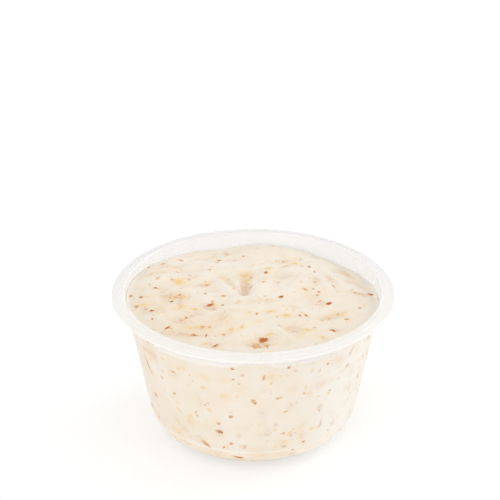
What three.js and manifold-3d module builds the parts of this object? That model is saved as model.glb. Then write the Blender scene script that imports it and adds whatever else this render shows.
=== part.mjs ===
// A portion cup of honey mustard sauce. The cup is a thin plastic shell with a sloping flange, a
// curled edge, a tapered wall, a rounded heel and a small foot. The sauce is a thick cream with
// soft lumps, folds, a pit where the spoon left it, and flecks of herb and mustard seed on top.
// Millimetres, +Z up, the origin at the middle of the base, +X to the right, the front at -Y.
import * as THREE from 'three';
import { mergeVertices } from 'three/addons/utils/BufferGeometryUtils.js';
import Module from 'manifold-3d';

const wasm = await Module();
wasm.setup();

const degrees = THREE.MathUtils.degToRad;

// ---------------------------------------------------------------- sizes of the cup
const RIM_DIAMETER = 62;
const CUP_HEIGHT = 33.9;
const WALL_TOP_RADIUS = 28.64; // the wall's outer face, carried up to the crest of the flange
const WALL_TAPER = degrees(11.6);
const WALL_THICKNESS = 0.5;
const HEEL_RADIUS = 8.7;
const FOOT_HEIGHT = 5.4; // the foot ends here in a fine ledge
const FOOT_INSET = 0.35;
const FOOT_LEDGE = 0.12;
const CREST_ROUNDING = 0.45; // where the inside of the wall turns over onto the flange
const FLANGE_THICKNESS = 0.45;
const FLANGE_DROP = 0.67; // from the crest to the top of the curled edge
const FLANGE_STEP = 0.15; // a shallow ring step in the top of the flange
const FLANGE_STEP_RADIUS = 29.8;
const CURL_RADIUS = 0.36;

// ---------------------------------------------------------------- sizes of the sauce
const SAUCE_GAP = 0.3; // between the sauce and the cup
const PLATEAU_DEPTH = 2.5; // the sauce's middle level, below the crest
const SHOULDER_WIDTH = 1.8; // over which the top rolls down to the wall
// depth of the sauce's edge on the wall, below the crest, every 15 degrees from +X to +Y and on
const EDGE_DEPTHS = [
  2.9, 3.2, 3.8, 4.1, 4.1, 3.9, 3.5, 4.0, 3.5, 2.8, 2.2, 2.0,
  2.0, 2.6, 3.4, 4.4, 4.5, 4.3, 2.9, 4.3, 4.0, 3.1, 2.7, 2.7,
];
// the large forms of the top: the place of each, its half lengths along and across, the turn of
// its long side from +X in degrees, and its height above the plateau
const FORMS = [
  { name: 'broad mound', x: 3, y: 8, along: 15, across: 12, turn: 20, height: 0.8 },
  { name: 'back hump', x: 3, y: 23, along: 5, across: 2.8, turn: 0, height: 0.45 },
  { name: 'back left saddle', x: -6.5, y: 24, along: 5, across: 3, turn: 5, height: -0.9 },
  { name: 'right back slope', x: 19.5, y: 19, along: 9, across: 3.2, turn: 135, height: -0.9 },
  { name: 'right end slope', x: 26.5, y: 4, along: 7, across: 2.4, turn: 95, height: -0.6 },
  { name: 'left bank', x: -21, y: 13.5, along: 7.5, across: 3.5, turn: 55, height: 0.95 },
  { name: 'right bank', x: 9.5, y: 6.5, along: 8.5, across: 1.9, turn: 72, height: 0.6 },
  { name: 'dip inside the right bank', x: 6, y: 13, along: 4, across: 2, turn: 70, height: -0.5 },
  { name: 'valley outside the right bank', x: 12.8, y: 1, along: 4, across: 1.6, turn: 112, height: -0.6 },
  { name: 'far right fold', x: 16.3, y: 5.5, along: 6, across: 1.3, turn: 115, height: 0.6 },
  { name: 'far right valley', x: 21.5, y: 11.5, along: 4.5, across: 1.8, turn: 125, height: -0.5 },
  { name: 'far right hollow', x: 23.5, y: 3.5, along: 2.2, across: 1.2, turn: 160, height: -0.4 },
  { name: 'right shelf', x: 18.5, y: -2.5, along: 3.5, across: 2.4, turn: 100, height: 0.35 },
  { name: 'right front dip', x: 17, y: -7.6, along: 3, across: 1.8, turn: 15, height: -0.35 },
  { name: 'right front ridge', x: 12, y: -10, along: 5, across: 0.9, turn: 175, height: 0.4 },
  { name: 'front ridge', x: 6.3, y: -15.5, along: 4.6, across: 1.3, turn: 122, height: 0.7 },
  { name: 'front right dip', x: 8.8, y: -13.6, along: 1.8, across: 1.8, turn: 0, height: -0.4 },
  { name: 'front hollow', x: 1.2, y: -18.6, along: 3, across: 2, turn: 10, height: -0.6 },
  { name: 'front left bump', x: -4, y: -17, along: 3.5, across: 2, turn: 10, height: 0.35 },
  { name: 'left hollow', x: -17.5, y: 1, along: 4, across: 2.2, turn: 8, height: -0.8 },
  { name: 'left long dip', x: -15, y: 7, along: 6, across: 1.3, turn: 2, height: -0.5 },
  { name: 'left shelf', x: -17, y: -3.2, along: 6, across: 1.2, turn: 178, height: 0.5 },
  { name: 'left ridge', x: -14, y: 10.5, along: 6.5, across: 1.4, turn: 10, height: 0.45 },
  { name: 'inner left dip', x: -9.3, y: -3.5, along: 3.6, across: 2, turn: 170, height: -0.8 },
  { name: 'inner left ridge', x: -6.2, y: -6.2, along: 3.6, across: 1.1, turn: 130, height: 0.55 },
  { name: 'front left slope', x: -14, y: -13, along: 8, across: 5, turn: 150, height: -0.6 },
];
// the pit that the spoon left, with its lip and the folds that run into it
const PIT = [
  { name: 'pit', x: -1.7, y: 5.2, along: 4.6, across: 1.2, turn: 88, height: -1.4 },
  { name: 'pit head', x: -1.4, y: 11, along: 2.6, across: 1.7, turn: 90, height: -0.8 },
  { name: 'pit lip', x: -1.8, y: -0.4, along: 3.2, across: 0.9, turn: 2, height: 0.85 },
  { name: 'outer fold', x: -6.8, y: 5.2, along: 4.6, across: 1.1, turn: 118, height: 0.75 },
  { name: 'valley between folds', x: -4.9, y: 6.4, along: 3.4, across: 0.7, turn: 122, height: -0.35 },
  { name: 'inner fold', x: -3.7, y: 7, along: 3.4, across: 0.7, turn: 114, height: 0.45 },
  { name: 'right cheek', x: 2.2, y: 5.5, along: 3.6, across: 1.6, turn: 85, height: 0.6 },
  { name: 'left cheek dip', x: -10.5, y: 4, along: 2, across: 1.6, turn: 0, height: -0.5 },
];
const SMALL_LUMPS = 60;
const SMALL_LUMP_REACH = 25; // from the middle of the cup
const SMALL_LUMP_RADIUS = { least: 1.2, spread: 1.5 };
const SMALL_LUMP_HEIGHT = 0.5;
const LUMP_SEED = 4127;

// ---------------------------------------------------------------- sizes of the flecks
// the flecks that stand out: place, length, width and turn from +X in degrees
const MAIN_FLECKS = [
  { x: 2.3, y: -17.7, length: 2.2, width: 2, turn: 30 },
  { x: 0.7, y: -21, length: 2.6, width: 2.2, turn: 160 },
  { x: -18.5, y: -12.5, length: 2.1, width: 0.65, turn: 50 },
  { x: -8, y: -21, length: 2.1, width: 0.65, turn: 48 },
  { x: -9.3, y: -2.4, length: 1.7, width: 1, turn: 10 },
  { x: 16.6, y: -2.6, length: 1.3, width: 1, turn: 0 },
  { x: 17.3, y: -14.5, length: 2, width: 0.6, turn: 130 },
  { x: -12.7, y: -15.5, length: 1.5, width: 0.9, turn: 170 },
  { x: 2.9, y: 10.5, length: 1.5, width: 0.9, turn: 50 },
  { x: 6.1, y: 0, length: 1.15, width: 0.9, turn: 0 },
  { x: -16.5, y: 8, length: 1.8, width: 1.4, turn: 20 },
  { x: -1.5, y: 11.4, length: 1.5, width: 1.3, turn: 80 },
  { x: 7.3, y: -7.6, length: 1.6, width: 1, turn: 170 },
];
const RULED_FLECKS = 32;
const FLECK_REACH = 24.5;
const FLECK_LENGTH = { least: 0.75, spread: 0.75 };
const FLECK_WIDTH = { least: 0.5, spread: 0.35 };
const FLECK_THICKNESS = 0.6; // half of it stands out of the sauce
const FLECK_SEED = 907;

// ---------------------------------------------------------------- fineness
const SEGMENTS = 72;
const FOOT_STEPS = 5;
const HEEL_STEPS = 5;
const INNER_HEEL_STEPS = 8;
const CURL_STEPS = 6;
const CREST_STEPS = 3;
const SAUCE_HEEL_STEPS = 5;
const SAUCE_WALL_ROWS = 3;
const SAUCE_TOP_ROWS = 19;

// ---------------------------------------------------------------- worked out from the sizes
const QUARTER = degrees(90);
const HALF_TURN = degrees(180);
const FULL_TURN = degrees(360);
const GOLDEN_ANGLE = Math.PI * (3 - Math.sqrt(5));
const HEEL_CENTRE = new THREE.Vector2(
  WALL_TOP_RADIUS
    - (HEEL_RADIUS + (CUP_HEIGHT - HEEL_RADIUS) * Math.sin(WALL_TAPER)) / Math.cos(WALL_TAPER),
  HEEL_RADIUS,
);

// radius at a height of the face that lies a given inset inside the wall's outer face
function wallRadius(height, inset) {
  const slope = Math.tan(WALL_TAPER);
  return WALL_TOP_RADIUS - (CUP_HEIGHT - height) * slope - inset / Math.cos(WALL_TAPER);
}

// points (radius, height) along an arc, both ends included
function arc(centre, radius, from, to, steps) {
  const points = [];
  for (let step = 0; step <= steps; step += 1) {
    const angle = from + ((to - from) * step) / steps;
    points.push(new THREE.Vector2(
      centre.x + radius * Math.cos(angle),
      centre.y + radius * Math.sin(angle),
    ));
  }
  return points;
}

// a repeatable sequence of draws between 0 and 1
const LEHMER_MULTIPLIER = 16807;
const LEHMER_MODULUS = 2147483647;
function drawsFrom(seed) {
  let state = seed;
  return () => {
    state = (state * LEHMER_MULTIPLIER) % LEHMER_MODULUS;
    return state / LEHMER_MODULUS;
  };
}

// even places over a disc, as seeds sit in a sunflower head
function sunflowerPlace(index, count, reach) {
  const radius = reach * Math.sqrt((index + 0.5) / count);
  const angle = index * GOLDEN_ANGLE;
  return new THREE.Vector2(radius * Math.cos(angle), radius * Math.sin(angle));
}

// ---------------------------------------------------------------- the cup
function cupProfile() {
  const footAngle = Math.asin((FOOT_HEIGHT - HEEL_RADIUS) / HEEL_RADIUS);
  const ledgeAngle = Math.asin((FOOT_HEIGHT + FOOT_LEDGE - HEEL_RADIUS) / HEEL_RADIUS);
  const footCentre = new THREE.Vector2(HEEL_CENTRE.x - FOOT_INSET, HEEL_CENTRE.y);
  const foot = arc(footCentre, HEEL_RADIUS, -QUARTER, footAngle, FOOT_STEPS);
  const heel = arc(HEEL_CENTRE, HEEL_RADIUS, ledgeAngle, -WALL_TAPER, HEEL_STEPS);

  const curlCentre = new THREE.Vector2(
    RIM_DIAMETER / 2 - CURL_RADIUS,
    CUP_HEIGHT - FLANGE_DROP - CURL_RADIUS,
  );
  const crestCentre = new THREE.Vector2(
    wallRadius(CUP_HEIGHT - CREST_ROUNDING, WALL_THICKNESS) + CREST_ROUNDING,
    CUP_HEIGHT - CREST_ROUNDING,
  );
  const slope = FLANGE_DROP / (curlCentre.x - crestCentre.x);
  const flangeTop = (radius) => CUP_HEIGHT - (radius - crestCentre.x) * slope;
  const underWall = flangeTop(WALL_TOP_RADIUS) - FLANGE_THICKNESS;
  const wallTop = new THREE.Vector2(wallRadius(underWall, 0), underWall);
  const curl = arc(curlCentre, CURL_RADIUS, -HALF_TURN, QUARTER, CURL_STEPS);
  const stepOuter = new THREE.Vector2(FLANGE_STEP_RADIUS, flangeTop(FLANGE_STEP_RADIUS));
  const stepInner = new THREE.Vector2(
    FLANGE_STEP_RADIUS - FLANGE_STEP,
    stepOuter.y + FLANGE_STEP,
  );
  const crest = arc(crestCentre, CREST_ROUNDING, QUARTER, HALF_TURN, CREST_STEPS);
  const innerHeel = arc(
    HEEL_CENTRE,
    HEEL_RADIUS - WALL_THICKNESS,
    -WALL_TAPER,
    -QUARTER,
    INNER_HEEL_STEPS,
  );
  const baseMiddle = new THREE.Vector2(0, 0);
  const floorMiddle = new THREE.Vector2(0, WALL_THICKNESS);
  return [
    baseMiddle, ...foot, ...heel, wallTop, ...curl, stepOuter, stepInner, ...crest, ...innerHeel,
    floorMiddle,
  ];
}

// turns a profile about the upright axis
function turned(profile, segments) {
  const geometry = new THREE.LatheGeometry(profile, segments);
  geometry.rotateX(QUARTER);
  return geometry;
}

// ---------------------------------------------------------------- the top of the sauce
// depth of the sauce's edge on the wall, eased between the stated depths
function edgeDepth(angle) {
  const count = EDGE_DEPTHS.length;
  const place = (((angle / FULL_TURN) % 1) + 1) * count;
  const before = Math.floor(place);
  const share = place - before;
  const eased = share * share * (3 - 2 * share);
  return THREE.MathUtils.lerp(
    EDGE_DEPTHS[before % count],
    EDGE_DEPTHS[(before + 1) % count],
    eased,
  );
}

// a smooth bump or hollow, long along its turn
function formHeight(form, x, y) {
  const turn = degrees(form.turn);
  const offsetX = x - form.x;
  const offsetY = y - form.y;
  const along = (offsetX * Math.cos(turn) + offsetY * Math.sin(turn)) / form.along;
  const across = (offsetY * Math.cos(turn) - offsetX * Math.sin(turn)) / form.across;
  return form.height * Math.exp(-along * along - across * across);
}

function smallLumps() {
  const draw = drawsFrom(LUMP_SEED);
  const lumps = [];
  for (let index = 0; index < SMALL_LUMPS; index += 1) {
    const place = sunflowerPlace(index, SMALL_LUMPS, SMALL_LUMP_REACH);
    const x = place.x + (draw() - 0.5) * SMALL_LUMP_RADIUS.spread;
    const y = place.y + (draw() - 0.5) * SMALL_LUMP_RADIUS.spread;
    const along = SMALL_LUMP_RADIUS.least + draw() * SMALL_LUMP_RADIUS.spread;
    const across = SMALL_LUMP_RADIUS.least;
    const turn = draw() * 180;
    const height = (draw() * 2 - 1) * SMALL_LUMP_HEIGHT;
    lumps.push({ x, y, along, across, turn, height });
  }
  return lumps;
}
const TOP_FORMS = [...FORMS, ...PIT, ...smallLumps()];

// height of the sauce's top over a place inside its edge
function topHeight(x, y) {
  const radius = Math.hypot(x, y);
  const edge = CUP_HEIGHT - edgeDepth(Math.atan2(y, x));
  const reach = wallRadius(edge, WALL_THICKNESS + SAUCE_GAP);
  let plateau = CUP_HEIGHT - PLATEAU_DEPTH;
  for (const form of TOP_FORMS) {
    plateau += formHeight(form, x, y);
  }
  const inFromEdge = THREE.MathUtils.clamp((reach - radius) / SHOULDER_WIDTH, 0, 1);
  return THREE.MathUtils.lerp(edge, plateau, Math.sin(inFromEdge * QUARTER));
}

// ---------------------------------------------------------------- the body of the sauce
function sauceGeometry() {
  const inset = WALL_THICKNESS + SAUCE_GAP;
  const heel = arc(HEEL_CENTRE, HEEL_RADIUS - inset, -QUARTER, -WALL_TAPER, SAUCE_HEEL_STEPS);
  const heelTop = heel[heel.length - 1];
  const profile = [new THREE.Vector2(0, inset), ...heel];
  const firstWallRow = profile.length;
  for (let row = 1; row <= SAUCE_WALL_ROWS; row += 1) {
    profile.push(heelTop.clone());
  }
  const firstTopRow = profile.length;
  for (let row = 1; row <= SAUCE_TOP_ROWS; row += 1) {
    profile.push(new THREE.Vector2(heelTop.x * (1 - row / SAUCE_TOP_ROWS), CUP_HEIGHT));
  }
  const geometry = turned(profile, SEGMENTS);
  const position = geometry.attributes.position;
  for (let index = 0; index < position.count; index += 1) {
    const row = index % profile.length;
    const segment = Math.floor(index / profile.length) % SEGMENTS;
    const angle = (segment / SEGMENTS) * FULL_TURN - QUARTER;
    const edge = CUP_HEIGHT - edgeDepth(angle);
    if (row >= firstTopRow) {
      const share = (row - firstTopRow + 1) / SAUCE_TOP_ROWS;
      const radius = wallRadius(edge, inset) * (1 - share);
      const x = radius * Math.cos(angle);
      const y = radius * Math.sin(angle);
      position.setXYZ(index, x, y, topHeight(x, y));
    } else if (row >= firstWallRow) {
      const share = (row - firstWallRow + 1) / SAUCE_WALL_ROWS;
      const height = THREE.MathUtils.lerp(heelTop.y, edge, share);
      const radius = wallRadius(height, inset);
      position.setXYZ(index, radius * Math.cos(angle), radius * Math.sin(angle), height);
    }
  }
  return geometry;
}

// ---------------------------------------------------------------- flecks
function allFlecks() {
  const draw = drawsFrom(FLECK_SEED);
  const flecks = [...MAIN_FLECKS];
  for (let index = 0; index < RULED_FLECKS; index += 1) {
    const place = sunflowerPlace(index, RULED_FLECKS, FLECK_REACH);
    flecks.push({
      x: place.x + (draw() - 0.5) * FLECK_LENGTH.spread,
      y: place.y + (draw() - 0.5) * FLECK_LENGTH.spread,
      length: FLECK_LENGTH.least + draw() * FLECK_LENGTH.spread,
      width: FLECK_WIDTH.least + draw() * FLECK_WIDTH.spread,
      turn: draw() * 180,
    });
  }
  return flecks;
}

// a flat chip, half sunk in the sauce and lying along its slope
function fleckGeometry(fleck) {
  const step = FLECK_THICKNESS;
  const height = topHeight(fleck.x, fleck.y);
  const normal = new THREE.Vector3(
    topHeight(fleck.x - step, fleck.y) - topHeight(fleck.x + step, fleck.y),
    topHeight(fleck.x, fleck.y - step) - topHeight(fleck.x, fleck.y + step),
    2 * step,
  ).normalize();
  const lean = new THREE.Quaternion().setFromUnitVectors(new THREE.Vector3(0, 0, 1), normal);
  const geometry = new THREE.IcosahedronGeometry(1, 0);
  geometry.scale(fleck.length / 2, fleck.width / 2, FLECK_THICKNESS / 2);
  geometry.rotateZ(degrees(fleck.turn));
  geometry.applyQuaternion(lean);
  geometry.translate(fleck.x, fleck.y, height);
  return geometry;
}

// ---------------------------------------------------------------- joining
function solidOf(geometry) {
  const bare = geometry.clone();
  bare.deleteAttribute('normal');
  bare.deleteAttribute('uv');
  const merged = mergeVertices(bare);
  return new wasm.Manifold(new wasm.Mesh({
    numProp: 3,
    vertProperties: new Float32Array(merged.attributes.position.array),
    triVerts: new Uint32Array(merged.index.array),
  }));
}

function geometryOf(solid) {
  const mesh = solid.getMesh();
  const geometry = new THREE.BufferGeometry();
  geometry.setAttribute('position', new THREE.BufferAttribute(mesh.vertProperties, mesh.numProp));
  geometry.setIndex(new THREE.BufferAttribute(mesh.triVerts, 1));
  geometry.computeVertexNormals();
  return geometry;
}

function sauceWithFlecks() {
  let solid = solidOf(sauceGeometry());
  for (const fleck of allFlecks()) {
    solid = solid.add(solidOf(fleckGeometry(fleck)));
  }
  return geometryOf(solid);
}

// ---------------------------------------------------------------- the object
const clearPlastic = new THREE.MeshStandardMaterial({
  color: 0xf7f6f6,
  roughness: 0.18,
  metalness: 0,
  transparent: true,
  opacity: 0.35,
});
const creamSauce = new THREE.MeshStandardMaterial({
  color: 0xf3e6d2,
  roughness: 0.38,
  metalness: 0,
});

const cup = new THREE.Mesh(turned(cupProfile(), SEGMENTS), clearPlastic);
cup.name = 'cup';
const sauce = new THREE.Mesh(sauceWithFlecks(), creamSauce);
sauce.name = 'sauce';

const object = new THREE.Group();
object.add(cup, sauce);

export default object;
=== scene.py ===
"""A clear portion cup of honey mustard sauce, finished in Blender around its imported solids.

The cup is a thin, slightly milky plastic shell. The sauce is a thick cream with soft lumps, folds
and a spoon pit, and flecks of herb and mustard seed lie on it and against the inside of the wall.
Lengths are in millimetres until a mesh is made, and a mesh is in metres.
"""
import math

import bmesh
import bpy
import numpy as np
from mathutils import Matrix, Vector, noise


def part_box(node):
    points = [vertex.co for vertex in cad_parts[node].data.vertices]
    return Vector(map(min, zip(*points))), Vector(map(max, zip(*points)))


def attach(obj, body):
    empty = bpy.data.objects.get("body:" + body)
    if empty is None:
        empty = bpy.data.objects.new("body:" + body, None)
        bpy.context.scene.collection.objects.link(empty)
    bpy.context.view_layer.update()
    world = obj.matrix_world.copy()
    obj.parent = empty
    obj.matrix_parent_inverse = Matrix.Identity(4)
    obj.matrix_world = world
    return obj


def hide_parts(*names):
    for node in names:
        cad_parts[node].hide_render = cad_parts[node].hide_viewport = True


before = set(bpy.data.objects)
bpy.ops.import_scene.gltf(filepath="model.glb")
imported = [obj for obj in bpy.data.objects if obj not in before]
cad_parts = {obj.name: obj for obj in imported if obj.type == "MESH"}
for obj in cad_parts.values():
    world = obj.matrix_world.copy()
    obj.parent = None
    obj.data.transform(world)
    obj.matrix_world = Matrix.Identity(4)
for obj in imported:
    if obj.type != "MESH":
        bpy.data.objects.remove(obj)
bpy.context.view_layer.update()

bl_info = {
    "name": "Portion Cup of Sauce",
    "version": (1, 0, 0),
    "blender": (4, 5, 0),
    "location": "3D View > Sidebar > Sauce Cup",
    "description": "Builds a clear portion cup filled with flecked sauce",
    "category": "Add Mesh",
}

METRES = 0.001  # one millimetre
FULL_TURN = 2 * math.pi
QUARTER = math.pi / 2
GOLDEN_ANGLE = math.pi * (3 - math.sqrt(5))

cup_low, cup_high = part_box("cup")
CUP_HEIGHT = (cup_high.z - cup_low.z) / METRES
RIM_DIAMETER = (cup_high.x - cup_low.x) / METRES

# ------------------------------------------------------------------ sizes of the cup
WALL_TOP_RADIUS = 28.64  # the wall's outer face, carried up to the crest of the flange
WALL_TAPER = math.radians(11.6)
WALL_THICKNESS = 0.5
HEEL_RADIUS = 8.7
FOOT_HEIGHT = 5.4
FOOT_INSET = 0.35
FOOT_LEDGE = 0.12
CREST_ROUNDING = 0.45
FLANGE_THICKNESS = 0.45
FLANGE_DROP = 0.67
FLANGE_STEP = 0.15
FLANGE_STEP_RADIUS = 29.8
CURL_RADIUS = 0.36
HEEL_CENTRE = (
    WALL_TOP_RADIUS
    - (HEEL_RADIUS + (CUP_HEIGHT - HEEL_RADIUS) * math.sin(WALL_TAPER)) / math.cos(WALL_TAPER),
    HEEL_RADIUS,
)

# ------------------------------------------------------------------ sizes of the sauce
SAUCE_INSET = 0.24  # the looks' sauce reaches just into the wall
PLATEAU_DEPTH = 2.5
SHOULDER_WIDTH = 1.8
# depth of the sauce's edge on the wall, below the crest, every 15 degrees from +X to +Y and on
EDGE_DEPTHS = (
    2.9, 3.2, 3.8, 4.1, 4.1, 3.9, 3.5, 4.0, 3.5, 2.8, 2.2, 2.0,
    2.0, 2.6, 3.4, 4.4, 4.5, 4.3, 2.9, 4.3, 4.0, 3.1, 2.7, 2.7,
)
# the large forms of the top: place, half lengths along and across, turn from +X in degrees and
# height above the plateau
FORMS = (
    ("broad mound", 3, 8, 15, 12, 20, 0.8),
    ("back hump", 3, 23, 5, 2.8, 0, 0.45),
    ("back left saddle", -6.5, 24, 5, 3, 5, -0.9),
    ("right back slope", 19.5, 19, 9, 3.2, 135, -0.9),
    ("right end slope", 26.5, 4, 7, 2.4, 95, -0.6),
    ("left bank", -21, 13.5, 7.5, 3.5, 55, 0.95),
    ("right bank", 9.5, 6.5, 8.5, 1.9, 72, 0.6),
    ("dip inside the right bank", 6, 13, 4, 2, 70, -0.5),
    ("valley outside the right bank", 12.8, 1, 4, 1.6, 112, -0.6),
    ("far right fold", 16.3, 5.5, 6, 1.3, 115, 0.6),
    ("far right valley", 21.5, 11.5, 4.5, 1.8, 125, -0.5),
    ("far right hollow", 23.5, 3.5, 2.2, 1.2, 160, -0.4),
    ("right shelf", 18.5, -2.5, 3.5, 2.4, 100, 0.35),
    ("right front dip", 17, -7.6, 3, 1.8, 15, -0.35),
    ("right front ridge", 12, -10, 5, 0.9, 175, 0.4),
    ("front ridge", 6.3, -15.5, 4.6, 1.3, 122, 0.7),
    ("front right dip", 8.8, -13.6, 1.8, 1.8, 0, -0.4),
    ("front hollow", 1.2, -18.6, 3, 2, 10, -0.6),
    ("front left bump", -4, -17, 3.5, 2, 10, 0.35),
    ("left hollow", -17.5, 1, 4, 2.2, 8, -0.8),
    ("left long dip", -15, 7, 6, 1.3, 2, -0.5),
    ("left shelf", -17, -3.2, 6, 1.2, 178, 0.5),
    ("left ridge", -14, 10.5, 6.5, 1.4, 10, 0.45),
    ("inner left dip", -9.3, -3.5, 3.6, 2, 170, -0.8),
    ("inner left ridge", -6.2, -6.2, 3.6, 1.1, 130, 0.55),
    ("front left slope", -14, -13, 8, 5, 150, -0.6),
    ("pit", -1.7, 5.2, 4.6, 1.2, 88, -1.4),
    ("pit head", -1.4, 11, 2.6, 1.7, 90, -0.8),
    ("pit lip", -1.8, -0.4, 3.2, 0.9, 2, 0.85),
    ("outer fold", -6.8, 5.2, 4.6, 1.1, 118, 0.75),
    ("valley between folds", -4.9, 6.4, 3.4, 0.7, 122, -0.35),
    ("inner fold", -3.7, 7, 3.4, 0.7, 114, 0.45),
    ("right cheek", 2.2, 5.5, 3.6, 1.6, 85, 0.6),
    ("left cheek dip", -10.5, 4, 2, 1.6, 0, -0.5),
)
SMALL_LUMPS = 60
SMALL_LUMP_REACH = 25
SMALL_LUMP_LEAST = 1.2
SMALL_LUMP_SPREAD = 1.5
SMALL_LUMP_HEIGHT = 0.5
LUMP_SEED = 4127


# ------------------------------------------------------------------ draws and profiles
def draws_from(seed):
    """A repeatable sequence of draws between 0 and 1, as the solids use."""
    multiplier, modulus = 16807, 2147483647
    state = seed
    while True:
        state = state * multiplier % modulus
        yield state / modulus


def drawn(draw, span, power=1):
    """The next draw carried to a span, which is its least value and how far it goes beyond."""
    least, spread = span
    return least + spread * next(draw) ** power


def sunflower_place(index, count, reach):
    """One of a count of places spread evenly over a disc, in order from its middle."""
    radius = reach * math.sqrt((index + 0.5) / count)
    angle = index * GOLDEN_ANGLE
    return radius * math.cos(angle), radius * math.sin(angle)


def eased(share):
    """A share from 0 to 1 that starts and ends gently."""
    return share * share * (3 - 2 * share)


def wall_radius(height, inset):
    """Radius at a height of the wall's face that lies an inset inside its outer face."""
    slope = math.tan(WALL_TAPER)
    return WALL_TOP_RADIUS - (CUP_HEIGHT - height) * slope - inset / math.cos(WALL_TAPER)


def arc(centre, radius, start, end, steps):
    """Points (radius, height) along an arc, both ends included."""
    angles = np.linspace(start, end, steps + 1)
    return [(centre[0] + radius * math.cos(a), centre[1] + radius * math.sin(a)) for a in angles]


def skin_radius(height, inset):
    """Radius at a height of the face that lies an inset inside the cup's outer face."""
    reach = HEEL_RADIUS - inset
    heel = HEEL_CENTRE[0] + np.sqrt(np.maximum(reach**2 - (HEEL_RADIUS - height) ** 2, 0))
    on_wall = height >= HEEL_RADIUS * (1 - math.sin(WALL_TAPER))
    return np.where(on_wall, wall_radius(height, inset), heel)


# ------------------------------------------------------------------ the top of the sauce
def small_lumps():
    """The seeded small forms of the top, as the solids have them."""
    draw = draws_from(LUMP_SEED)
    lumps = []
    for index in range(SMALL_LUMPS):
        x, y = sunflower_place(index, SMALL_LUMPS, SMALL_LUMP_REACH)
        x += (next(draw) - 0.5) * SMALL_LUMP_SPREAD
        y += (next(draw) - 0.5) * SMALL_LUMP_SPREAD
        along = SMALL_LUMP_LEAST + next(draw) * SMALL_LUMP_SPREAD
        turn = next(draw) * 180
        height = (next(draw) * 2 - 1) * SMALL_LUMP_HEIGHT
        lumps.append(("small lump", x, y, along, SMALL_LUMP_LEAST, turn, height))
    return lumps


TOP_FORMS = [*FORMS, *small_lumps()]


def edge_depth(angle):
    """Depth of the sauce's edge on the wall, eased between the stated depths."""
    depths = np.array(EDGE_DEPTHS)
    place = (np.asarray(angle) / FULL_TURN) % 1 * len(depths)
    before = np.floor(place).astype(int)
    first = depths[before % len(depths)]
    second = depths[(before + 1) % len(depths)]
    return first + (second - first) * eased(place - before)


def swelling(x, y, middle, half_lengths, degrees):
    """1 in the middle of a soft oval and fading to 0 round it."""
    turn = math.radians(degrees)
    off_x, off_y = x - middle[0], y - middle[1]
    u = (off_x * math.cos(turn) + off_y * math.sin(turn)) / half_lengths[0]
    v = (off_y * math.cos(turn) - off_x * math.sin(turn)) / half_lengths[1]
    return np.exp(-u * u - v * v)


def top_height(x, y):
    """Height of the sauce's top over places inside its edge."""
    x, y = np.asarray(x, float), np.asarray(y, float)
    edge = CUP_HEIGHT - edge_depth(np.arctan2(y, x))
    reach = wall_radius(edge, SAUCE_INSET)
    plateau = np.full_like(x, CUP_HEIGHT - PLATEAU_DEPTH)
    for _, form_x, form_y, along, across, turn, height in TOP_FORMS:
        plateau += height * swelling(x, y, (form_x, form_y), (along, across), turn)
    inward = np.clip((reach - np.hypot(x, y)) / SHOULDER_WIDTH, 0, 1)
    return edge + (plateau - edge) * np.sin(inward * QUARTER)


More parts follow.
